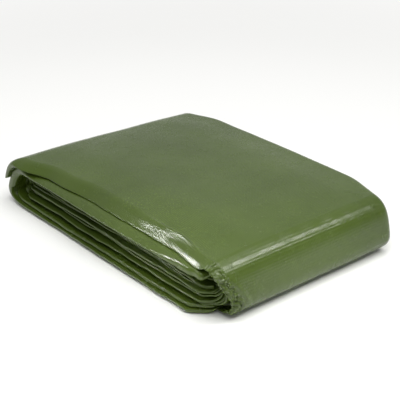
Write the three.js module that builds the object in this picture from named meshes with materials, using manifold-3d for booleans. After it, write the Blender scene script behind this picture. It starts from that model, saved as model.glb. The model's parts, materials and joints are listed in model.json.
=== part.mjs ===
// A fly sheet, packed: one large woven polyethylene sheet with eyelets, folded
// to a strip, doubled end to end and rolled up flat into six panels. The panels
// lie on one another, joined by folds round the two ends. The top panel is the
// free flap, and it swings open about the fold at its right end.
//
// Millimetres, +Z up. X runs along the panels, Y across them, and the origin is
// under the middle of the pack, on the surface that it rests on.
import * as THREE from 'three';
import { mergeVertices } from 'three/addons/utils/BufferGeometryUtils.js';
import Module from 'manifold-3d';

const wasm = await Module();
wasm.setup();

// The pack.
const packLength = 348;         // over the rolled ends
const packWidth = 254;          // across the widest panel
const plyThickness = 0.3875;    // one ply of folded cloth, with the air it holds
const pliesPerPanel = 24;       // a strip of twelve plies, doubled
const clearance = 0.3;          // between pieces that touch on the real sheet
const edgeRound = 1.4;          // rounding of the folded side edges
const rightFoldDepth = 22;      // how far the outer folds stand out past the panels
const leftTurnDepth = 24;
const innerFoldEase = 0.6;      // slack between one fold and the fold inside it
const coreFoldDepth = 5;        // the innermost fold, pressed almost flat
const cornerCutX = 17;          // the folds' front ends run back across the near corner
const cornerCutY = 20;

// How far each panel's side edges stand back from the widest panel's: front, back.
const setbacks = {
  flap: [10, 2],
  second: [1, 4],
  third: [5, 3],
  fourth: [6, 6],
  fifth: [2, 2],
  bottom: [0, 0],
};

// The eyelets and the hems that they go through.
const eyeletHoleRadius = 5;
const eyeletWall = 0.6;
const eyeletFlangeRadius = 10;
const eyeletFlangeThickness = 0.8;
const eyeletRollRadius = 7.6;
const eyeletRollThickness = 0.5;
const washerThickness = 0.5;
const hemWidth = 30;
const hemThickness = 0.6;
const patchThickness = 0.5;
const patchLength = 44;
const hemEnd = 8;               // from the flat panel's end to the first hem
const hemSpacing = 4;           // between the two short hems
const longHemLength = 68;       // the stretch of long hem that holds its eyelets
const longHemPitch = 30;        // between two eyelets that lie side by side
const hemSideMargin = 8;        // cloth left beyond a hem at the panel's side
const pocketMargin = 2;         // from a hem to the side of the space that it lies in

// Worked out from those.
const panelThickness = pliesPerPanel * plyThickness;
const stripThickness = (panelThickness - clearance) / 2;
const halfLength = packLength / 2;
const halfWidth = packWidth / 2;
const rightEnd = halfLength - rightFoldDepth;     // where the flat panels end
const leftEnd = -halfLength + leftTurnDepth;
const level = (n) => n * (panelThickness + clearance);  // underside of panel n, from 0
const packHeight = level(5) + panelThickness;
// The flap's free end bends down round the left turn until it reaches as far out.
const flapReach = leftTurnDepth + clearance + panelThickness;
const flapDroop = THREE.MathUtils.radToDeg(Math.asin(leftTurnDepth / flapReach));
const hingeHeight = packHeight / 2;

const cloth = (color) => new THREE.MeshStandardMaterial({ color, roughness: 0.5, metalness: 0 });
const outerCloth = cloth(0x6a774e);
const innerCloth = cloth(0x5c6a41);
const hemCloth = cloth(0x4c5836);
const patchPlastic = new THREE.MeshStandardMaterial({ color: 0x23261f, roughness: 0.6, metalness: 0 });
const aluminium = new THREE.MeshStandardMaterial({ color: 0xb9bcbe, roughness: 0.35, metalness: 1 });

const pack = new THREE.Group();
const flap = new THREE.Group();

function add(group, name, geometry, material) {
  const mesh = new THREE.Mesh(geometry, material);
  mesh.name = name;
  group.add(mesh);
  return mesh;
}

// Points of an elliptical arc in the X-Z plane, angles in degrees from +X.
function arc(cx, cz, rx, rz, from, to, steps) {
  const points = [];
  for (let i = 0; i <= steps; i++) {
    const a = THREE.MathUtils.degToRad(from + ((to - from) * i) / steps);
    points.push(new THREE.Vector2(cx + rx * Math.cos(a), cz + rz * Math.sin(a)));
  }
  return points;
}

// How far the front edge runs back at x, across the near corner.
function cornerCut(x) {
  const across = (x - (halfLength - cornerCutX)) / cornerCutX;
  return cornerCutY * THREE.MathUtils.clamp(across, 0, 1);
}

// A stack of plies: an outline in the X-Z plane, extruded along Y between the
// side edges that its setbacks give, with those edges rounded.
function plies(outline, [front, back], round = edgeRound) {
  const length = packWidth - front - back - 2 * round;
  const geometry = new THREE.ExtrudeGeometry(new THREE.Shape(outline), {
    depth: length,
    steps: 1,
    bevelEnabled: true,
    bevelThickness: round,
    bevelSize: round,
    bevelOffset: -round,
    bevelSegments: 2,
  });
  geometry.rotateX(Math.PI / 2);
  geometry.translate(0, halfWidth - back - round, 0);
  const position = geometry.attributes.position;
  for (let i = 0; i < position.count; i++) {
    if (position.getY(i) < 0) {
      position.setY(i, position.getY(i) + cornerCut(position.getX(i)));
    }
  }
  return geometry;
}

const box = (x0, x1, z0, z1) => [
  new THREE.Vector2(x0, z0),
  new THREE.Vector2(x1, z0),
  new THREE.Vector2(x1, z1),
  new THREE.Vector2(x0, z1),
];

// A fold round the right end, over the levels z0 to z1.
function rightFold(z0, z1, depth) {
  const x = rightEnd + clearance;
  const middle = (z0 + z1) / 2;
  const half = (z1 - z0) / 2;
  const reach = depth - clearance;
  return [
    ...arc(x, middle, reach, half, -90, 90, 12),
    ...arc(x, middle, reach - panelThickness, half - panelThickness, 90, -90, 10),
  ];
}

// A turn round the left end, over the levels z0 to z1.
function leftTurn(z0, z1, depth) {
  const x = leftEnd - clearance;
  const middle = (z0 + z1) / 2;
  const half = (z1 - z0) / 2;
  const reach = depth - clearance;
  return [
    ...arc(x, middle, reach, half, 90, 270, 12),
    ...arc(x, middle, reach - panelThickness, half - panelThickness, 270, 90, 10),
  ];
}

// One strip of the flap: flat, then bent down over the left turn. It lies
// between two heights above the turn's outside.
function flapStrip(inner, outer) {
  const half = level(5) / 2 - clearance / 2;
  const top = 2 * half;
  const bent = (height, from, to) =>
    arc(leftEnd, half, leftTurnDepth + height, half + height, from, to, 8);
  return [
    new THREE.Vector2(rightEnd, top + outer),
    ...bent(outer, 90, 90 + flapDroop),
    ...bent(inner, 90 + flapDroop, 90),
    new THREE.Vector2(rightEnd, top + inner),
  ];
}

function toSolid(geometry) {
  const bare = geometry.clone();
  bare.deleteAttribute('normal');
  bare.deleteAttribute('uv');
  const merged = mergeVertices(bare, 1e-4);
  return new wasm.Manifold(new wasm.Mesh({
    numProp: 3,
    vertProperties: merged.attributes.position.array,
    triVerts: new Uint32Array(merged.index.array),
  }));
}

// Takes a box-shaped pocket, given by its limits, out of a stack of plies.
function withPocket(geometry, { x: [x0, x1], y: [y0, y1], z: [z0, z1] }) {
  const block = new THREE.BoxGeometry(x1 - x0, y1 - y0, z1 - z0);
  block.translate((x0 + x1) / 2, (y0 + y1) / 2, (z0 + z1) / 2);
  const mesh = toSolid(geometry).subtract(toSolid(block)).getMesh();
  const cut = new THREE.BufferGeometry();
  cut.setAttribute('position', new THREE.BufferAttribute(mesh.vertProperties, 3));
  cut.setIndex(new THREE.BufferAttribute(mesh.triVerts, 1));
  cut.computeVertexNormals();
  return cut;
}

// Heights in a space that holds a hem and its hardware, above its floor.
function hardwareLevels(hasPatch) {
  const roll = clearance;
  const washer = roll + eyeletRollThickness + clearance;
  const hem = washer + washerThickness + clearance;
  const patch = hem + hemThickness + clearance;
  const flange = hasPatch ? patch + patchThickness + clearance : patch;
  const ceiling = flange + eyeletFlangeThickness + clearance;
  return { roll, washer, hem, patch, flange, ceiling };
}

function lathe(profile) {
  const points = profile.map(([r, z]) => new THREE.Vector2(r, z));
  points.push(points[0].clone());
  const geometry = new THREE.LatheGeometry(points, 16);
  geometry.rotateX(Math.PI / 2);
  return geometry;
}

// One eyelet: a barrel through the hem, with a broad flange above and its lower
// edge rolled out under a washer.
function addEyelet(group, name, x, y, floor, hasPatch) {
  const at = hardwareLevels(hasPatch);
  const barrel = eyeletHoleRadius + eyeletWall;
  const rolled = at.roll + eyeletRollThickness;
  const eyelet = lathe([
    [eyeletHoleRadius, at.roll],
    [eyeletRollRadius, at.roll],
    [eyeletRollRadius, rolled],
    [barrel, rolled],
    [barrel, at.flange],
    [eyeletFlangeRadius, at.flange],
    [eyeletFlangeRadius - eyeletFlangeThickness / 2, at.flange + eyeletFlangeThickness],
    [eyeletHoleRadius, at.flange + eyeletFlangeThickness],
  ]);
  add(group, `${name}_eyelet`, eyelet, aluminium).position.set(x, y, floor);
  const washer = lathe([
    [barrel + clearance, at.washer],
    [eyeletFlangeRadius, at.washer],
    [eyeletFlangeRadius, at.washer + washerThickness],
    [barrel + clearance, at.washer + washerThickness],
  ]);
  add(group, `${name}_washer`, washer, aluminium).position.set(x, y, floor);
}

// A flat piece with a hole for each eyelet's barrel. Its underside is at z.
function pierced(outline, holes, z, thickness) {
  const shape = new THREE.Shape(outline);
  for (const [x, y] of holes) {
    const hole = new THREE.Path();
    hole.absarc(x, y, eyeletHoleRadius + eyeletWall + clearance, 0, 2 * Math.PI, false);
    shape.holes.push(hole);
  }
  const geometry = new THREE.ExtrudeGeometry(shape, {
    depth: thickness, bevelEnabled: false, curveSegments: 8,
  });
  geometry.translate(0, 0, z);
  return geometry;
}

// A panel of two strips with a space between them, over x0 to x1, for hems.
function addSplitPanel(group, name, lower, upper, sides, base, x0, x1, hasPatch, materials) {
  const ceiling = hardwareLevels(hasPatch).ceiling;
  const middle = base + panelThickness / 2;
  const floor = middle - ceiling / 2;
  const y = [
    -halfWidth + sides[0] + hemSideMargin - pocketMargin,
    halfWidth - sides[1] - hemSideMargin + pocketMargin,
  ];
  const space = { x: [x0 - pocketMargin, x1 + pocketMargin], y, z: [floor, floor + ceiling] };
  add(group, `${name}_lower_strip`, withPocket(plies(lower, sides), space), materials[0]);
  add(group, `${name}_upper_strip`, withPocket(plies(upper, sides), space), materials[1]);
  return floor;
}

// The flap: two strips, and between them the sheet's two short hems. Each has
// four eyelets, and the outer two go through the sheet's corner patches.
function addFlap() {
  const lower = flapStrip(clearance, clearance + stripThickness);
  const upper = flapStrip(panelThickness + clearance - stripThickness, panelThickness + clearance);
  const x0 = leftEnd + hemEnd;
  const x1 = x0 + 2 * hemWidth + hemSpacing;
  const floor = addSplitPanel(
    flap, 'flap', lower, upper, setbacks.flap, level(5), x0, x1, true, [innerCloth, outerCloth],
  );
  const y0 = -halfWidth + setbacks.flap[0] + hemSideMargin;
  const y1 = halfWidth - setbacks.flap[1] - hemSideMargin;
  const at = hardwareLevels(true);
  ['front', 'rear'].forEach((hemName, hem) => {
    const left = x0 + hem * (hemWidth + hemSpacing);
    const x = left + hemWidth / 2;
    const ends = [y0 + patchLength / 2, y1 - patchLength / 2];
    const holes = [0, 1, 2, 3].map((n) => [x, ends[0] + ((ends[1] - ends[0]) * n) / 3]);
    const band = box(left, left + hemWidth, y0, y1);
    add(flap, `short_hem_${hemName}`, pierced(band, holes, floor + at.hem, hemThickness), hemCloth);
    holes.forEach(([, y], n) => {
      const isCorner = n === 0 || n === 3;
      const name = `short_hem_${hemName}_${n + 1}`;
      addEyelet(flap, name, x, y, floor, isCorner);
      if (!isCorner) return;
      // The patch's inner corner is cut off, as the plastic of such a patch is.
      const inward = n === 0 ? 1 : -1;
      const edge = y - (inward * patchLength) / 2;
      const cut = hemWidth / 3;
      const patch = [
        new THREE.Vector2(left, edge),
        new THREE.Vector2(left + hemWidth, edge),
        new THREE.Vector2(left + hemWidth, edge + inward * (patchLength - cut)),
        new THREE.Vector2(left + hemWidth - cut, edge + inward * patchLength),
        new THREE.Vector2(left, edge + inward * patchLength),
      ];
      const geometry = pierced(patch, [[x, y]], floor + at.patch, patchThickness);
      add(flap, `corner_patch_${hemName}_${n === 0 ? 'near' : 'far'}`, geometry, patchPlastic);
    });
  });
}

// A panel of two strips with a stretch of both long hems between them, at one end.
function addLongHemPanel(name, sides, base, x0, eyeletsPerHem) {
  const x1 = x0 + longHemLength;
  const z = base + panelThickness;
  const lower = box(leftEnd, rightEnd, base, base + stripThickness);
  const upper = box(leftEnd, rightEnd, z - stripThickness, z);
  const floor = addSplitPanel(
    pack, name, lower, upper, sides, base, x0, x1, false, [innerCloth, innerCloth],
  );
  const at = hardwareLevels(false);
  const hems = {
    near: -halfWidth + sides[0] + hemSideMargin,
    far: halfWidth - sides[1] - hemSideMargin - hemWidth,
  };
  for (const [side, y0] of Object.entries(hems)) {
    const y = y0 + hemWidth / 2;
    const middle = (x0 + x1) / 2;
    const holes = [];
    for (let n = 0; n < eyeletsPerHem; n++) {
      holes.push([middle + (n - (eyeletsPerHem - 1) / 2) * longHemPitch, y]);
    }
    const band = box(x0, x1, y0, y0 + hemWidth);
    const hem = pierced(band, holes, floor + at.hem, hemThickness);
    add(pack, `long_hem_${name}_${side}`, hem, hemCloth);
    holes.forEach(([x], n) => addEyelet(pack, `long_hem_${name}_${side}_${n + 1}`, x, y, floor, false));
  }
}

function addPanel(name, sides, base, material) {
  const outline = box(leftEnd, rightEnd, base, base + panelThickness);
  add(pack, name, plies(outline, sides), material);
}

// The panels, from the bottom up. The sheet was doubled end to end, so its long
// hems' middle eyelets lie at the doubled end, in the innermost panel, and the
// others lie three panels on, by the fold between the second and the fifth.
addPanel('bottom_panel', setbacks.bottom, level(0), outerCloth);
addLongHemPanel('fifth_panel', setbacks.fifth, level(1), rightEnd - hemEnd - longHemLength, 2);
addLongHemPanel('fourth_panel', setbacks.fourth, level(2), leftEnd + hemEnd, 1);
addPanel('third_panel', setbacks.third, level(3), innerCloth);
addPanel('second_panel', setbacks.second, level(4), outerCloth);
addFlap();

// The folds between them. Each inner one lies inside the outer one.
const rightInnerDepth = rightFoldDepth - panelThickness - innerFoldEase;
const leftInnerDepth = leftTurnDepth - panelThickness - innerFoldEase;
const rightOuter = rightFold(level(0) + clearance, packHeight - clearance, rightFoldDepth);
add(pack, 'right_outer_fold', plies(rightOuter, setbacks.bottom), outerCloth);

function addRightInnerFold() {
  const depth = rightInnerDepth;
  const z0 = level(1) + clearance;
  const z1 = level(5) - 2 * clearance;
  const half = (z1 - z0) / 2;
  const outline = [
    ...arc(rightEnd + clearance, (z0 + z1) / 2, depth - clearance, half, -90, 90, 10),
    ...arc(rightEnd + clearance, (z0 + z1) / 2, coreFoldDepth + innerFoldEase, half - panelThickness, 90, -90, 8),
  ];
  const wall = depth - clearance - coreFoldDepth - innerFoldEase;
  const round = Math.min(edgeRound, wall / 3);
  add(pack, 'right_inner_fold', plies(outline, setbacks.second, round), innerCloth);
}
addRightInnerFold();

function addRightCoreFold() {
  const z0 = level(2) + clearance;
  const z1 = level(4) - 2 * clearance;
  const half = (z1 - z0) / 2;
  const outline = arc(rightEnd + clearance, (z0 + z1) / 2, coreFoldDepth, half, -90, 90, 10);
  add(pack, 'right_core_fold', plies(outline, setbacks.third, edgeRound / 3), innerCloth);
}
addRightCoreFold();

add(pack, 'left_outer_turn', plies(leftTurn(level(0), level(5) - clearance, leftTurnDepth), setbacks.bottom), outerCloth);

function addLeftInnerTurn() {
  const z0 = level(1) + clearance;
  const z1 = level(4) - 2 * clearance;
  const half = (z1 - z0) / 2;
  const x = leftEnd - clearance;
  const outline = [
    ...arc(x, (z0 + z1) / 2, leftInnerDepth - clearance, half, 90, 270, 10),
    ...arc(x, (z0 + z1) / 2, coreFoldDepth, half - panelThickness, 270, 90, 8),
  ];
  const wall = leftInnerDepth - clearance - coreFoldDepth;
  const round = Math.min(edgeRound, wall / 3);
  add(pack, 'left_inner_turn', plies(outline, setbacks.fifth, round), innerCloth);
}
addLeftInnerTurn();

const flySheet = new THREE.Group();
flySheet.add(pack, flap);
export default flySheet;
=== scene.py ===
import json
import math

import bmesh
import bpy
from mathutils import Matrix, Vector, noise

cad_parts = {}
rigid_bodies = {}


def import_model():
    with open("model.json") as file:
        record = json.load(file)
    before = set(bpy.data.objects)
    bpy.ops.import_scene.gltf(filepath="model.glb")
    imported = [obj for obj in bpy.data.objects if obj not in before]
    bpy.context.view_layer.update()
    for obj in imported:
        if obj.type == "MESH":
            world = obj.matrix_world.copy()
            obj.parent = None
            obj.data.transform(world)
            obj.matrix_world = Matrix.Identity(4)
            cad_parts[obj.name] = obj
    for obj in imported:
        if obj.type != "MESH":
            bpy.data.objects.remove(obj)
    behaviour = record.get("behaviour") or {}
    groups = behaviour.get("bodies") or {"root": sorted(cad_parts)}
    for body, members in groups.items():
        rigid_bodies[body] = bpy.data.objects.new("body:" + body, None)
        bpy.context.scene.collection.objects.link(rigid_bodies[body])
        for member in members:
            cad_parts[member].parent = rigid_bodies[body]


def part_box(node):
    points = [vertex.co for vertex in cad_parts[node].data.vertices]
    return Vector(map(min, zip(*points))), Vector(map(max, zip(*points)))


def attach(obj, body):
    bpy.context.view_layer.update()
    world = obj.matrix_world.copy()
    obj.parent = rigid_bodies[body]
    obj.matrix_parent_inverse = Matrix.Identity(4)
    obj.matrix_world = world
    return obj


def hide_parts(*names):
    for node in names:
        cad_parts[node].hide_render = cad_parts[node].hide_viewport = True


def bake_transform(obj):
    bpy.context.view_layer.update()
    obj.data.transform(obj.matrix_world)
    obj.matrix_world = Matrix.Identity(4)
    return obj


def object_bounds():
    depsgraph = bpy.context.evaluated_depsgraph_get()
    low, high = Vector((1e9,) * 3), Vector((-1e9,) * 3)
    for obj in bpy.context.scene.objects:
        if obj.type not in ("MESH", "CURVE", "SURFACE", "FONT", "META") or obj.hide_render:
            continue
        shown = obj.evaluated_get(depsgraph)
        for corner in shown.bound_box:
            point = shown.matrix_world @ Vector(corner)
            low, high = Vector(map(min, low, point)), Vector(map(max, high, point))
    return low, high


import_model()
cad_low, cad_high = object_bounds()
scene = bpy.context.scene


# The studio: a camera a little above the pack, looking across its near corner, a white
# floor that runs out of view, an even white surround, one large soft lamp overhead, and
# two small softboxes with grids that light the glints at the near corner.
CAMERA_AZIMUTH = math.radians(50.15)
CAMERA_ELEVATION = math.radians(25.77)
CAMERA_DISTANCE = 1.135
LENS = 94.5
CAMERA_TARGET = Vector((0.0019, 0.0023, 0.0287))


def colour(hex_value):
    """An sRGB hex value as linear red, green, blue and alpha."""
    channels = [int(hex_value[i : i + 2], 16) / 255 for i in (1, 3, 5)]
    linear = [c / 12.92 if c <= 0.04045 else ((c + 0.055) / 1.055) ** 2.4 for c in channels]
    return (*linear, 1.0)


def direction(azimuth, elevation):
    """From the pack towards a place at that azimuth and elevation, both in radians."""
    level = math.cos(elevation)
    return Vector((math.sin(azimuth) * level, -math.cos(azimuth) * level, math.sin(elevation)))


def aim(item, place, target):
    """Puts a camera or lamp at the place, looking at the target."""
    item.location = place
    item.rotation_euler = (place - target).to_track_quat("Z", "Y").to_euler()


camera_data = bpy.data.cameras.new("camera")
camera_data.lens = LENS
camera_data.sensor_width = 36
camera_data.clip_start = 0.01
camera = bpy.data.objects.new("camera", camera_data)
scene.collection.objects.link(camera)
view_from = CAMERA_DISTANCE * direction(CAMERA_AZIMUTH, CAMERA_ELEVATION)
aim(camera, CAMERA_TARGET + view_from, CAMERA_TARGET)
scene.camera = camera
scene.view_settings.view_transform = "Standard"


LAMP_WHITE = (1.0, 1.0, 0.97)
FLAP_CORNER = Vector((0.150, -0.110, 0.05))
FOLD_CORNER = Vector((0.165, -0.080, 0.05))


def lamp(name, lit, azimuth, elevation, distance, width, height, power, spread=180):
    """A softbox turned to the place that it lights: angles in degrees, sizes in metres and
    power in watts. Its grid narrows the spread."""
    data = bpy.data.lights.new(name, "AREA")
    data.shape = "RECTANGLE"
    data.size = width
    data.size_y = height
    data.energy = power
    data.spread = math.radians(spread)
    data.color = LAMP_WHITE
    item = bpy.data.objects.new(name, data)
    scene.collection.objects.link(item)
    towards = direction(math.radians(azimuth), math.radians(elevation))
    aim(item, lit + distance * towards, lit)


lamp("overhead_lamp", CAMERA_TARGET, 60, 76, 1.9, 1.8, 1.8, 35.5)
lamp("corner_lamp", FLAP_CORNER, -60, 23, 0.6, 0.06, 0.06, 0.036, 28)
lamp("end_lamp", FOLD_CORNER, 143, 43.7, 0.7, 0.06, 0.3, 0.16, 50)


def add_node(tree, kind, settings=None, **links):
    """Adds a node, sets its properties and inputs, and links its inputs to sockets."""
    node = tree.nodes.new(kind)
    for key, value in (settings or {}).items():
        if isinstance(key, str) and hasattr(node, key):
            setattr(node, key, value)
        else:
            node.inputs[key].default_value = value
    for key, source in links.items():
        socket = node.inputs[int(key[1:])] if key[0] == "_" else node.inputs[key.replace("_", " ")]
        tree.links.new(source, socket)
    return node


# The surround is brightest behind the pack, where its top reflects it.
BRIGHT_SIDE = direction(math.radians(230), math.radians(35))
SURROUND_DIM = 0.30
SURROUND_BRIGHT = 0.56
world = bpy.data.worlds.new("surround")
world.use_nodes = True
air = add_node(world.node_tree, "ShaderNodeTexCoord")
facing = add_node(
    world.node_tree, "ShaderNodeVectorMath",
    {"operation": "DOT_PRODUCT", 1: BRIGHT_SIDE}, _0=air.outputs["Generated"],
)
glow = add_node(
    world.node_tree, "ShaderNodeMapRange",
    {
        "interpolation_type": "SMOOTHSTEP", "From Min": 0.1, "From Max": 1.0,
        "To Min": SURROUND_DIM, "To Max": SURROUND_BRIGHT,
    },
    Value=facing.outputs["Value"],
)
background = world.node_tree.nodes["Background"]
background.inputs["Color"].default_value = (1, 1, 1, 1)
world.node_tree.links.new(glow.outputs[0], background.inputs["Strength"])
scene.world = world


def new_material(name):
    """A new material, its node tree and its shader."""
    material = bpy.data.materials.new(name)
    material.use_nodes = True
    tree = material.node_tree
    return material, tree, tree.nodes["Principled BSDF"]


def finish_mesh(bm, name, material):
    """The bmesh as a smooth-shaded piece at the origin."""
    mesh = bpy.data.meshes.new(name)
    bm.to_mesh(mesh)
    bm.free()
    for polygon in mesh.polygons:
        polygon.use_smooth = True
    mesh.materials.append(material)
    piece = bpy.data.objects.new(name, mesh)
    scene.collection.objects.link(piece)
    return piece


# The floor: a matt white board. Away from the pack it is lit from below, so that it stays
# white to its far edge.
FLOOR_SIZE = 12.0
FLOOR_DROP = 0.0004
GLOW_STARTS = 0.6
GLOW_IS_FULL = 2.0
GLOW = 0.6
floor_material, floor_tree, floor_shader = new_material("painted_board")
floor_grain = add_node(floor_tree, "ShaderNodeTexNoise", {"Scale": 3.0, "Detail": 2.0})
floor_ramp = add_node(floor_tree, "ShaderNodeValToRGB", Fac=floor_grain.outputs["Fac"])
floor_ramp.color_ramp.elements[0].color = colour("#fafafa")
floor_ramp.color_ramp.elements[1].color = colour("#ffffff")
floor_tree.links.new(floor_ramp.outputs["Color"], floor_shader.inputs["Base Color"])
floor_shader.inputs["Roughness"].default_value = 0.9
floor_shader.inputs["Specular IOR Level"].default_value = 0.1
floor_place = add_node(floor_tree, "ShaderNodeTexCoord")
floor_distance = add_node(
    floor_tree, "ShaderNodeVectorMath", {"operation": "LENGTH"}, _0=floor_place.outputs["Object"],
)
floor_glow = add_node(
    floor_tree, "ShaderNodeMapRange",
    {
        "interpolation_type": "SMOOTHSTEP", "From Min": GLOW_STARTS, "From Max": GLOW_IS_FULL,
        "To Min": 0.0, "To Max": GLOW,
    },
    Value=floor_distance.outputs["Value"],
)
floor_shader.inputs["Emission Color"].default_value = (1, 1, 1, 1)
floor_tree.links.new(floor_glow.outputs[0], floor_shader.inputs["Emission Strength"])
floor_bm = bmesh.new()
bmesh.ops.create_grid(floor_bm, x_segments=1, y_segments=1, size=FLOOR_SIZE / 2)
bmesh.ops.translate(floor_bm, verts=floor_bm.verts, vec=(0, 0, -FLOOR_DROP))
floor = finish_mesh(floor_bm, "studio_floor", floor_material)


# The cloth: flat polyethylene tapes woven plain, with a thin film of the same plastic
# laminated on both sides. The film gives a satin gloss, and the tapes print through it.
# Two tapes, one over and one under, take a full turn of the print.
TAPE_PITCH = 0.0024
CLOTH = "#44561a"
CLOTH_DEEP = "#3d4e15"
CLOTH_PALE = "#4a5c20"
PRINT_DEPTH = 0.000065
CRINKLE_DEPTH = 0.00018
# Patterns to the metre: where the print is strong, crinkles of 10 mm, broad shades.
PRINT_PATCHES = 60.0
CRINKLES = 95.0
BROAD_SHADES = 9.0


def woven_cloth(name, base, deep, pale, roughness):
    """Olive green cloth with a satin film. The print follows the folded cloth, by its UV."""
    material, tree, shader = new_material(name)
    uv = add_node(tree, "ShaderNodeUVMap", {"uv_map": "weave"})
    split = add_node(tree, "ShaderNodeSeparateXYZ", Vector=uv.outputs["UV"])
    waves = []
    for axis in ("X", "Y"):
        turns = add_node(
            tree, "ShaderNodeMath", {"operation": "MULTIPLY", 1: 2 * math.pi / TAPE_PITCH},
            _0=split.outputs[axis],
        )
        waves.append(add_node(tree, "ShaderNodeMath", {"operation": "SINE"}, _0=turns.outputs[0]))
    weave = add_node(
        tree, "ShaderNodeMath", {"operation": "ADD"},
        _0=waves[0].outputs[0], _1=waves[1].outputs[0],
    )
    # Tapes vary a little in width and tension, so the print of the weave comes and goes.
    patches = add_node(
        tree, "ShaderNodeTexNoise", {"Scale": PRINT_PATCHES, "Detail": 2.0},
        Vector=uv.outputs["UV"],
    )
    amount = add_node(
        tree, "ShaderNodeMapRange",
        {"From Min": 0.3, "From Max": 0.7, "To Min": 0.35, "To Max": 1.0},
        Value=patches.outputs["Fac"],
    )
    printed = add_node(
        tree, "ShaderNodeMath", {"operation": "MULTIPLY"},
        _0=weave.outputs[0], _1=amount.outputs[0],
    )
    place = add_node(tree, "ShaderNodeTexCoord")
    crinkle = add_node(
        tree, "ShaderNodeTexNoise", {"Scale": CRINKLES, "Detail": 3.0, "Roughness": 0.55},
        Vector=place.outputs["Object"],
    )
    weave_bump = add_node(
        tree, "ShaderNodeBump", {"Strength": 1.0, "Distance": PRINT_DEPTH},
        Height=printed.outputs[0],
    )
    crinkle_bump = add_node(
        tree, "ShaderNodeBump", {"Strength": 1.0, "Distance": CRINKLE_DEPTH},
        Height=crinkle.outputs["Fac"], Normal=weave_bump.outputs["Normal"],
    )
    shade = add_node(
        tree, "ShaderNodeTexNoise", {"Scale": BROAD_SHADES, "Detail": 4.0, "Roughness": 0.6},
        Vector=place.outputs["Object"],
    )
    ramp = add_node(tree, "ShaderNodeValToRGB", Fac=shade.outputs["Fac"])
    ramp.color_ramp.elements[0].position = 0.3
    ramp.color_ramp.elements[0].color = colour(deep)
    ramp.color_ramp.elements[1].position = 0.7
    ramp.color_ramp.elements[1].color = colour(pale)
    ramp.color_ramp.elements.new(0.5).color = colour(base)
    rough = add_node(
        tree, "ShaderNodeMapRange",
        {"From Min": 0.3, "From Max": 0.7, "To Min": roughness - 0.05, "To Max": roughness + 0.06},
        Value=crinkle.outputs["Fac"],
    )
    tree.links.new(ramp.outputs["Color"], shader.inputs["Base Color"])
    tree.links.new(rough.outputs[0], shader.inputs["Roughness"])
    tree.links.new(crinkle_bump.outputs["Normal"], shader.inputs["Normal"])
    shader.inputs["IOR"].default_value = 1.5
    return material


# The inside plies are a little rubbed, and duller. Their colour also stops at the cloth's own
# green, without the outside's paler shades: painted shade, for the recesses where they lie.
outer_cloth = woven_cloth("laminated_woven_polyethylene", CLOTH, CLOTH_DEEP, CLOTH_PALE, 0.24)
inner_cloth = woven_cloth("laminated_woven_polyethylene_inside", CLOTH, CLOTH_DEEP, CLOTH, 0.33)


# The hems, all folded away inside: the cloth's edge turned over and welded. The welding
# wheel leaves close cross ribs, and the melted film is darker and duller.
RIB_PITCH = 0.0015
RIB_DEPTH = 0.0002
HEM_MOTTLES = 60.0


def welded_hem(name):
    """Doubled cloth, mottled dark green under its ribs."""
    material, tree, shader = new_material(name)
    place = add_node(tree, "ShaderNodeTexCoord")
    ribs = add_node(
        tree, "ShaderNodeTexWave",
        {"bands_direction": "Y", "Scale": 1 / (RIB_PITCH * 2 * math.pi)},
        Vector=place.outputs["Object"],
    )
    mottle = add_node(
        tree, "ShaderNodeTexNoise", {"Scale": HEM_MOTTLES, "Detail": 3.0},
        Vector=place.outputs["Object"],
    )
    shades = add_node(tree, "ShaderNodeValToRGB", Fac=mottle.outputs["Fac"])
    shades.color_ramp.elements[0].color = colour("#34420f")
    shades.color_ramp.elements[1].color = colour("#45561c")
    pressed = add_node(
        tree, "ShaderNodeBump", {"Strength": 0.6, "Distance": RIB_DEPTH},
        Height=ribs.outputs["Fac"],
    )
    tree.links.new(shades.outputs["Color"], shader.inputs["Base Color"])
    tree.links.new(pressed.outputs["Normal"], shader.inputs["Normal"])
    shader.inputs["Roughness"].default_value = 0.38
    return material


# The corner patches: flat polypropylene plates, moulded, that spread an eyelet's pull.
# The mould was spark-eroded, which leaves a fine even grain.
SPARK_GRAIN = 0.0004
GRAIN_DEPTH = 0.00005
PLATE_CLOUDS = 40.0


def moulded_polypropylene(name):
    """Black-green, faintly cloudy, with the mould's fine grain."""
    material, tree, shader = new_material(name)
    place = add_node(tree, "ShaderNodeTexCoord")
    grain = add_node(
        tree, "ShaderNodeTexVoronoi", {"Scale": 1 / SPARK_GRAIN},
        Vector=place.outputs["Object"],
    )
    cloud = add_node(
        tree, "ShaderNodeTexNoise", {"Scale": PLATE_CLOUDS, "Detail": 4.0},
        Vector=place.outputs["Object"],
    )
    shades = add_node(tree, "ShaderNodeValToRGB", Fac=cloud.outputs["Fac"])
    shades.color_ramp.elements[0].color = colour("#1f2416")
    shades.color_ramp.elements[1].color = colour("#2b3220")
    bump = add_node(
        tree, "ShaderNodeBump", {"Strength": 0.35, "Distance": GRAIN_DEPTH},
        Height=grain.outputs["Distance"],
    )
    tree.links.new(shades.outputs["Color"], shader.inputs["Base Color"])
    tree.links.new(bump.outputs["Normal"], shader.inputs["Normal"])
    shader.inputs["Roughness"].default_value = 0.5
    shader.inputs["IOR"].default_value = 1.49
    return material


# The eyelets and their washers: stamped from soft aluminium sheet and closed through the
# hem by a press, about a metre apart. The handling leaves small rubbed, duller spots.
RUBBED_SPOTS = 300.0
RUB_DEPTH = 0.00003


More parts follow.
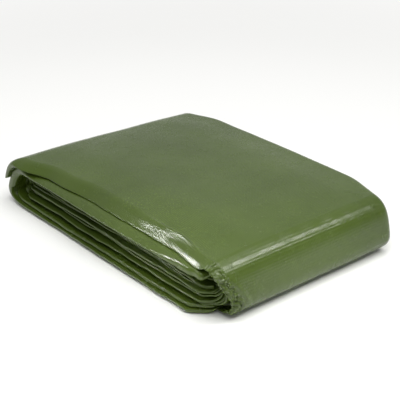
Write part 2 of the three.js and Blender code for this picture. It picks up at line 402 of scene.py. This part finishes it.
def stamped_aluminium(name):
    """Bright soft aluminium with rubbed spots."""
    material, tree, shader = new_material(name)
    place = add_node(tree, "ShaderNodeTexCoord")
    rubbed = add_node(
        tree, "ShaderNodeTexNoise", {"Scale": RUBBED_SPOTS, "Detail": 5.0, "Roughness": 0.7},
        Vector=place.outputs["Object"],
    )
    tone = add_node(tree, "ShaderNodeValToRGB", Fac=rubbed.outputs["Fac"])
    tone.color_ramp.elements[0].color = colour("#bfc2c4")
    tone.color_ramp.elements[1].color = colour("#dcdee0")
    gloss = add_node(
        tree, "ShaderNodeMapRange", {"To Min": 0.22, "To Max": 0.42},
        Value=rubbed.outputs["Fac"],
    )
    dents = add_node(
        tree, "ShaderNodeBump", {"Strength": 0.25, "Distance": RUB_DEPTH},
        Height=rubbed.outputs["Fac"],
    )
    tree.links.new(tone.outputs["Color"], shader.inputs["Base Color"])
    tree.links.new(gloss.outputs[0], shader.inputs["Roughness"])
    tree.links.new(dents.outputs["Normal"], shader.inputs["Normal"])
    shader.inputs["Metallic"].default_value = 1.0
    return material


# The hems and patches take their finishes, and are listed: the short hems and the patches with the
# flap, and the long hems with the inner roll.
fitting_finishes = {
    "hem_cloth": welded_hem("welded_hem"),
    "patch_plastic": moulded_polypropylene("moulded_polypropylene"),
    "eyelet_aluminium": stamped_aluminium("stamped_aluminium"),
}
flap_fittings, inner_fittings = [], []
for node in bpy.data.objects:
    if node.type != "MESH" or "hem" not in node.name and "patch" not in node.name:
        continue
    for slot in node.material_slots:
        slot.material = fitting_finishes[slot.material.name.split(".")[0]]
    (inner_fittings if node.name.startswith("long_hem") else flap_fittings).append(node)


# The folded stack: twenty-four plies, roll-folded to six panels. Its middle line in the
# X-Z plane is straight along each panel and elliptical round each end. A place on it is
# (x, z, outward x, outward z), where outward is away from the middle of the roll.
bottom_low, bottom_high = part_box("bottom_panel")
LEFT = bottom_low.x
RIGHT = bottom_high.x
STACK = bottom_high.z - bottom_low.z
STEP_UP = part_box("second_panel")[0].z / 4
LEFT_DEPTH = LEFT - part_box("left_outer_turn")[0].x
RIGHT_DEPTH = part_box("right_outer_fold")[1].x - RIGHT
RIGHT_INNER_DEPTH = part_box("right_inner_fold")[1].x - RIGHT
LEFT_INNER_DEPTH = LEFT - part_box("left_inner_turn")[0].x
FRONT = bottom_low.y
BACK = bottom_high.y
PANEL_STEP = 0.0025
FLOOR_GAP = 0.0002
# How the finished pack has settled.
CORNER_SLUMP = 0.012
END_ASKEW = 0.007
RIGHT_BULGE = 0.006
LEFT_BULGE = 0.008
BULGE_HEIGHT = 0.011


def level(n):
    """The height of a panel's middle line, counted from the bottom panel, 0."""
    return n * STEP_UP + STACK / 2


def straight(x0, x1, z, outward):
    """Along a panel, from one X to another."""
    steps = round(abs(x1 - x0) / PANEL_STEP)
    return [(x0 + (x1 - x0) * i / steps, z, 0.0, outward) for i in range(steps + 1)]


def bend(x, z0, z1, depth, start, end, steps):
    """Round an end: an elliptical arc between two heights, angles in degrees from +X."""
    middle = (z0 + z1) / 2
    rz = abs(z1 - z0) / 2
    places = []
    for i in range(1, steps):
        a = math.radians(start + (end - start) * i / steps)
        outward = Vector((math.cos(a) / depth, math.sin(a) / rz)).normalized()
        places.append((x + depth * math.cos(a), middle + rz * math.sin(a), outward.x, outward.y))
    return places


def unit_noise(*place):
    return noise.noise(Vector(place))


def crease(*place):
    """Sharp-crested noise from 0 to 1, as stiff film creases."""
    return (1 - abs(noise.noise(Vector(place)))) ** 3


def ease(t):
    """From 0 to 1 without a corner, as t goes from 0 to 1."""
    t = min(1.0, max(0.0, t))
    return t * t * (3 - 2 * t)


def hill(t):
    """1 at 0, and nearly 0 from 2 on."""
    return math.exp(-t * t)


def settle(x, y, z):
    """How the whole pack lies: slumped in at its back corners, its left end askew, and
    its turns bulging near the floor."""
    slump = CORNER_SLUMP * ease((abs(x) - 0.105) / 0.06) * ease((y / BACK + 0.2) / 1.2)
    askew = END_ASKEW * (y / BACK) * ease(-x / 0.15)
    low = hill((z - BULGE_HEIGHT) / 0.014)
    bulge = RIGHT_BULGE * ease((x - RIGHT) / 0.014) - LEFT_BULGE * ease((LEFT - x) / 0.014)
    return x + askew + low * bulge, y - slump, max(FLOOR_GAP, z)


NOSE_STEPS = 12
BACK_ROUNDING = 0.006
# At its two ends a band narrows to a quarter of its thickness.
END_THICKNESS = 0.25


def cloth_run(name, line, material, low, high, front, back, nose, across, dense, shape=None):
    """A band of folded cloth along the line: between two distances from the stack's
    middle line, closed round its front and back edges, and rounded off at its ends.
    front and back give the edges' Y at a place. nose is the front edge's rounding, or a
    function that gives it at a place: its depth above and below, the height of its
    foremost line, and 0 for a round or 1 for a slanted upper half. across is the number
    of columns of faces, and dense, above 1, crowds them towards the front edge. shape
    gives the cloth's last small moves, across and outwards."""
    lengths = [0.0]
    for (x0, z0, *_), (x1, z1, *_) in zip(line, line[1:]):
        lengths.append(lengths[-1] + math.hypot(x1 - x0, z1 - z0))
    around = across * 2 + NOSE_STEPS * 2
    thickness = high - low
    width = BACK - FRONT

    def section(j):
        """(run from the back to the front 0-1, height 0-1, angle round the front edge,
        angle round the back edge)"""
        if j <= across:
            return 1 - (1 - j / across) ** dense, 1.0, None, None
        j -= across
        if j <= NOSE_STEPS:
            return 1.0, None, math.pi * (0.5 - j / NOSE_STEPS), None
        j -= NOSE_STEPS
        if j <= across:
            return 1 - (j / across) ** dense, 0.0, None, None
        return 0.0, None, None, math.pi * ((j - across) / NOSE_STEPS - 0.5)

    bm = bmesh.new()
    uv = bm.loops.layers.uv.new("weave")
    bmesh.ops.create_grid(
        bm, x_segments=len(line) - 1, y_segments=around, size=0.5, calc_uvs=True,
    )
    for face in bm.faces:
        for loop in face.loops:
            i = round(loop[uv].uv.x * (len(line) - 1))
            j = round(loop[uv].uv.y * around)
            run, height, at_front, at_back = section(j)
            v = width * run
            if j > across + NOSE_STEPS:
                v = 2 * width + 2 * thickness - width * run
            if at_front is not None:
                v += thickness * (0.5 - at_front / math.pi)
            loop[uv].uv = (lengths[i], v)
    for vertex in bm.verts:
        i = round((vertex.co.x + 0.5) * (len(line) - 1))
        j = round((vertex.co.y + 0.5) * around)
        x, z, ox, oz = line[i]
        s = lengths[i]
        nose_top, nose_bottom, edge, facet = nose(x, z) if callable(nose) else nose
        run, height, at_front, at_back = section(j)
        y_front = front(x, z, s)
        y_back = back(x, z, s)
        ends = min(s, lengths[-1] - s)
        swell = math.sqrt(max(0.0, 1 - (1 - min(1.0, ends / (thickness * 0.6))) ** 2))
        swell = END_THICKNESS + (1 - END_THICKNESS) * swell
        phi = at_front if at_front is not None else at_back
        if phi is not None:
            reach = nose_top if phi > 0 else nose_bottom
            if at_back is not None:
                reach = min(reach, BACK_ROUNDING)
            inward = reach * (1 - math.cos(phi))
            share = 1 - edge if phi > 0 else edge
            rise = math.sin(phi)
            if phi > 0 and at_front is not None:
                rise += facet * (1 - math.cos(phi) ** 1.5 - rise)
            height = edge + share * rise
            y = y_front + inward if at_front is not None else y_back - inward
        else:
            reach = nose_top if height == 1.0 else nose_bottom
            back_reach = min(reach, BACK_ROUNDING)
            y = (y_back - back_reach) + (y_front - y_back + reach + back_reach) * run
        middle = (low + high) / 2
        h = middle + (low + thickness * height - middle) * swell
        if shape:
            y, h = shape(x, z, s, y, h, height, y_front)
        vertex.co = settle(x + ox * h, y, z + oz * h)
    bmesh.ops.remove_doubles(bm, verts=bm.verts, dist=1e-6)
    rims = [e for e in bm.edges if e.is_boundary]
    bmesh.ops.holes_fill(bm, edges=rims, sides=0)
    bmesh.ops.recalc_face_normals(bm, faces=bm.faces)
    return finish_mesh(bm, name, material)


SLOW_WANDER = 0.0022
QUICK_WANDER = 0.0009


def wandering(base, layer, amount=1.0):
    """An edge's place: cloth is never folded quite true, and each ply shows it."""
    def edge(x, z, s):
        slow = SLOW_WANDER * unit_noise(s * 14, layer * 7.3, 0.5)
        quick = QUICK_WANDER * unit_noise(s * 60, layer * 3.1, 4.5)
        return base + amount * (slow + quick)
    return edge


def corner_cut(x, start, run, depth):
    """How far a front edge runs back as it turns the near corner."""
    return depth * min(1.0, max(0.0, (x - start) / run))


def band_front(by_panel, layer, amount, cut, turn=0.0):
    """The front edge: its setback in each panel and, by turn, round the left end, its
    wandering, and the near corner."""
    edge = wandering(0.0, layer, amount)

    def front(x, z, s):
        panels = sorted(by_panel)
        setback = by_panel[panels[0]]
        for n, m in zip(panels, panels[1:]):
            setback += (by_panel[m] - by_panel[n]) * ease((z - level(n)) / (level(m) - level(n)))
        setback += turn * ease((LEFT + 0.012 - x) / 0.02)
        return FRONT + setback + edge(x, z, s) + corner_cut(x, *cut)
    return front


LOOSE_MARGIN = 0.020
TURN_LIFT = 0.0030
TURN_SHIFT = 0.0060


def loose_plies(layer, lift, split=0.0):
    """Free edges ripple up and down where nothing presses them, most at the left turn."""
    def shape(x, z, s, y, h, height, y_front):
        near = 1 - ease((y - y_front) / LOOSE_MARGIN)
        h += near * lift * unit_noise(s * 22, layer * 2.7, 8.0)
        h += near * lift * 0.35 * unit_noise(s * 85, layer * 5.1, 3.0)
        turned = split * near * ease((LEFT + 0.006 - x) / 0.006)
        h += turned * TURN_LIFT * unit_noise(s * 150, layer * 1.9, y * 60)
        y += turned * TURN_SHIFT * unit_noise(s * 110, layer * 4.4, 2.0)
        return y, h
    return shape


# The inner roll: the cloth's last three panels, rolled up inside. Nothing presses their
# front edges, so the plies part there into thin bands, and crumple at the left turn.
CORE_DEPTH = 0.0030
inner_line = bend(RIGHT, level(4), level(1), RIGHT_INNER_DEPTH - STACK / 2, 90, -90, 24)
inner_line += straight(RIGHT, LEFT, level(1), -1.0)
inner_line += bend(LEFT, level(1), level(3), LEFT_INNER_DEPTH - STACK / 2, 270, 90, 24)
inner_line += straight(LEFT, RIGHT, level(3), 1.0)
inner_line += bend(RIGHT, level(3), level(2), CORE_DEPTH, 90, -90, 8)
inner_line += straight(RIGHT, LEFT, level(2), -1.0)
INNER_SETBACKS = [
    # of the front edge in the fifth, fourth and third panels
    {1: 0.013, 2: 0.010, 3: 0.028},
    {1: 0.011, 2: 0.011, 3: 0.020},
    {1: 0.006, 2: 0.008, 3: 0.024},
    {1: 0.020, 2: 0.013, 3: 0.013},
]
# The near corner's cut: where it starts, how far it runs, and how far back it takes the edge.
INNER_CUT = (RIGHT - 0.006, 0.018, 0.021)
INNER_TURN_SETBACK = 0.008
INNER_LIFT = 0.0012
# Of the stack's share that each band is given; the rest is air.
BAND_FILL = 0.93
band_share = STACK / len(INNER_SETBACKS)
for n, by_panel in enumerate(INNER_SETBACKS):
    low = STACK / 2 - (n + 1) * band_share
    band = cloth_run(
        f"inner_band_{n + 1}", inner_line, inner_cloth, low, low + band_share * BAND_FILL,
        band_front(by_panel, n + 3, 1.4, INNER_CUT, INNER_TURN_SETBACK),
        wandering(BACK - 0.006, n + 13), (band_share / 2, band_share / 2, 0.5, 0), 12, 1.5,
        loose_plies(n + 3, INNER_LIFT, 1.0),
    )
    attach(band, "pack")
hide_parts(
    "right_inner_fold", "fifth_panel_upper_strip", "fifth_panel_lower_strip",
    "left_inner_turn", "third_panel", "right_core_fold",
    "fourth_panel_upper_strip", "fourth_panel_lower_strip",
)


# The outer run: the bottom panel, the left outer turn and the second panel, one smooth
# thick band. In the bottom panel its inner plies have slipped, and show as a second band.
OUTER_CUT = (RIGHT - 0.016, 0.026, 0.028)
SLIPPED = 0.0042
SLIP_GAP = 0.0002
TURN_SWELL = 0.0030
PRESSED_OUT = 0.013
outer_line = straight(RIGHT, LEFT, level(0), -1.0)
outer_line += bend(LEFT, level(0), level(4), LEFT_DEPTH - STACK / 2, 270, 90, 48)
outer_line += straight(LEFT, RIGHT, level(4), 1.0)
outer_ripple = loose_plies(1, 0.0006)


def outer_shape(x, z, s, y, h, height, y_front):
    """Thinner where the inner plies have slipped, and swollen round the left turn."""
    slipped = SLIPPED * (1 - ease((z - level(0)) / 0.012))
    if height < 0.5:
        swollen = hill((z - level(2)) / 0.022) * ease((LEFT - x) / 0.01)
        h -= TURN_SWELL * swollen * (1 - ease((y - y_front - 0.004) / 0.006))
    if slipped > 0:
        h = max(h, slipped - STACK / 2)
    return outer_ripple(x, z, s, y, h, height, y_front)


def outer_nose(x, z):
    """Slanted on the second panel up to the near corner, and flat-faced on the turn."""
    on_second = ease((z - level(0)) / (level(4) - level(0))) * ease((x - LEFT) / 0.015)
    on_second *= 1 - ease((x - 0.06) / 0.07)
    on_turn = hill((z - level(2)) / 0.016) * ease((LEFT + 0.01 - x) / 0.01)
    return 0.003 + 0.010 * on_second, 0.004 - 0.001 * on_turn, 0.45, on_second


outer_edge = band_front({0: 0.000, 2: 0.001, 4: 0.003}, 1, 0.5, OUTER_CUT)


def outer_front(x, z, s):
    """The second panel, pressed by the flap, runs back less at the near corner."""
    pressed = ease((z - level(2)) / (level(4) - level(2))) * ease((x - RIGHT + 0.016) / 0.016)
    return outer_edge(x, z, s) - PRESSED_OUT * pressed


outer_band = cloth_run(
    "outer_band", outer_line, outer_cloth, -STACK / 2, STACK / 2,
    outer_front, wandering(BACK - 0.002, 11), outer_nose, 20, 1.5, outer_shape,
)
slipped_line = outer_line[: len(outer_line) // 2]
slipped_band = cloth_run(
    "outer_band_inside", slipped_line, outer_cloth,
    -STACK / 2, -STACK / 2 + SLIPPED - SLIP_GAP,
    band_front({0: 0.0030, 2: 0.022, 4: 0.022}, 2, 0.9, OUTER_CUT),
    wandering(BACK - 0.004, 12), (0.002, 0.002, 0.5, 0), 12, 1.5, loose_plies(2, 0.0008),
)
for piece, line, below in (
    (outer_band, outer_line, "studio_floor"), (slipped_band, slipped_line, "outer_band"),
):
    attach(piece, "pack")
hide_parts("bottom_panel", "second_panel", "left_outer_turn")


# The flap and the outer fold: the top panel, smooth on top, runs over the right end and
# down it to the floor. Its long edge rolls over the side in a broad soft shoulder, and its
# free end bends down round the left turn.
DROOP = 88
CROWN = 0.0062
SHOULDER = 0.015
END_ROUNDING = 0.006
# The front edge's setback at the free end and along the panel, and what changes it.
END_SETBACK = 0.002
FLAP_SETBACK = 0.014
OVER_PATCH = 0.0025
AT_CORNER = 0.007
DOWN_FOLD = 0.0165
SKIN = 0.0032
SKIN_GAP = 0.0002
CRUMPLE_WIDTH = 0.009
CRUMPLE_LIFT = 0.0034
CRUMPLE_SHIFT = 0.0014
turn_middle = (level(0) + level(4)) / 2
droop_half = (level(4) - level(0)) / 2 + STEP_UP
DROOP_DEPTH = LEFT_DEPTH + STACK / 2
flap_line = bend(
    LEFT, turn_middle - droop_half, turn_middle + droop_half, DROOP_DEPTH, 90 + DROOP, 90, 36,
)
flap_line += straight(LEFT, RIGHT, level(5), 1.0)
flap_line += bend(RIGHT, level(5), level(0), RIGHT_DEPTH - STACK / 2, 90, -90, 90)
flap_line.append((RIGHT, level(0), 0.0, -1.0))


def flap_front(x, z, s):
    """Far out at the left end, set back along the panel, and running back down the fold."""
    setback = END_SETBACK + (FLAP_SETBACK - END_SETBACK) * ease((x - LEFT) / 0.045)
    over_patch = 1 - ease((x + 0.08) / 0.05)
    at_corner = ease((x - 0.10) / 0.05)
    setback -= OVER_PATCH * over_patch + AT_CORNER * at_corner
    if x > 0:
        setback += DOWN_FOLD * ease((level(5) - z) / 0.040)
    slow = 0.0012 * unit_noise(s * 14, 0.3, 0.5)
    return FRONT + setback + slow + 0.0005 * unit_noise(s * 70, 2.2, 1.0)


def flap_nose(x, z):
    """The shoulder: fuller over the corner patches, tighter towards the near corner, and
    nearly square round the end and down the fold."""
    on_fold = ease((x - RIGHT) / 0.02)
    at_end = ease((LEFT - x) / 0.02)
    on_side = max(on_fold, at_end)
    over_patch = 1 - ease((x + 0.075) / 0.03)
    reach = SHOULDER - 0.002 * over_patch
    reach -= 0.005 * ease((x - 0.02) / 0.06)
    return reach + (END_ROUNDING - reach) * on_side, 0.001, 0.06 + 0.3 * on_side, 1 - on_side


def flap_back(x, z, s):
    return BACK - 0.002 + 0.001 * unit_noise(s * 10, 5.3, 0.5)


def flap_shape(x, z, s, y, h, height, y_front):
    """The flap is crowned, thins towards its free end and where it becomes the fold's
    outer plies, and its front edge and corner are creased."""
    along, across = x / cad_high.x, y / BACK
    d = y - y_front
    to_end = ease((LEFT - x) / LEFT_DEPTH)
    on_fold = ease((x - RIGHT + 0.012) / 0.02)
    if height > 0.5:
        crown = ease((across + 1) / 0.6) * (1 - 0.45 * ease((across - 0.55) / 0.45))
        h += CROWN * crown * max(0.0, 1 - abs(along) ** 4) * min(1.0, 2 * (height - 0.5))
        h += 0.0007 * unit_noise(x * 9, y * 9, 3.0) + 0.0003 * unit_noise(x * 30, y * 26, 1.0)
        h -= to_end * 0.0015 * (height - 0.5)
    thin = max(on_fold * (STACK - SKIN), to_end * 0.10 * STACK)
    top = STACK / 2
    h = top - (top - h) * (1 - thin / STACK) if h < top else h
    near = 1 - ease(d / 0.022)
    h += near * 0.0003 * unit_noise(s * 50, y * 70, 2.0)
    # The fold's outer plies are crumpled along their front edge, from the corner down.
    crumple = (1 - ease((d - CRUMPLE_WIDTH) / 0.005)) * ease((x - RIGHT + 0.006) / 0.012)
    crumple *= ease((z - 0.003) / 0.006)
    h += crumple * CRUMPLE_LIFT * (crease(s * 270, d * 300, 7.0) - 0.6)
    y += crumple * CRUMPLE_SHIFT * unit_noise(s * 260, d * 200, 9.0)
    # Beside them the end face has two soft upright wrinkles.
    on_end = ease((x - RIGHT - 0.01) / 0.01)
    lean = 0.03 - z
    h += on_end * 0.0024 * hill((d - 0.017 - 0.15 * lean) / 0.0035) * hill((z - 0.028) / 0.014)
    h += on_end * 0.0012 * hill((d - 0.030 + 0.2 * lean) / 0.004) * hill((z - 0.018) / 0.012)
    # At the back corner of the fold the film is slightly puckered.
    pucker = hill((x - 0.150) / 0.016) * hill((y - 0.108) / 0.012)
    h += pucker * 0.0012 * crease(x * 120, y * 120, 1.0)
    if height > 0.5:
        # Two soft ridges with a valley between run along the shoulder to the near corner.
        h += 0.0022 * hill((d - 0.0105) / 0.0024) * hill((x - 0.092) / 0.034)
        h += 0.0016 * hill((d - 0.0035) / 0.0022) * hill((x - 0.128) / 0.030)
        h -= 0.0024 * hill((d - 0.0070) / 0.0022) * hill((x - 0.112) / 0.034)
    return y, h


def fold_inside_front(x, z, s):
    return flap_front(x, z, s) + 0.008 + 0.006 * ease((x - RIGHT) / 0.01)


flap = cloth_run(
    "flap_and_outer_fold", flap_line, outer_cloth, -STACK / 2, STACK / 2,
    flap_front, flap_back, flap_nose, 90, 1.8, flap_shape,
)
fold_line = flap_line[-92::2]
fold_inside = cloth_run(
    "outer_fold_inside", fold_line, inner_cloth, -STACK / 2, STACK / 2 - SKIN - SKIN_GAP,
    fold_inside_front, wandering(BACK - 0.010, 21), (0.003, 0.003, 0.5, 0), 12, 1.5,
)
# The flap and the fold's inside have their placing baked into their meshes.
for piece, line, slot_name, on_it in (
    (flap, flap_line, "outer_cloth", flap_fittings), (fold_inside, fold_line, "inner_cloth", ()),
):
    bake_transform(piece)
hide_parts("flap_upper_strip", "flap_lower_strip", "right_outer_fold")
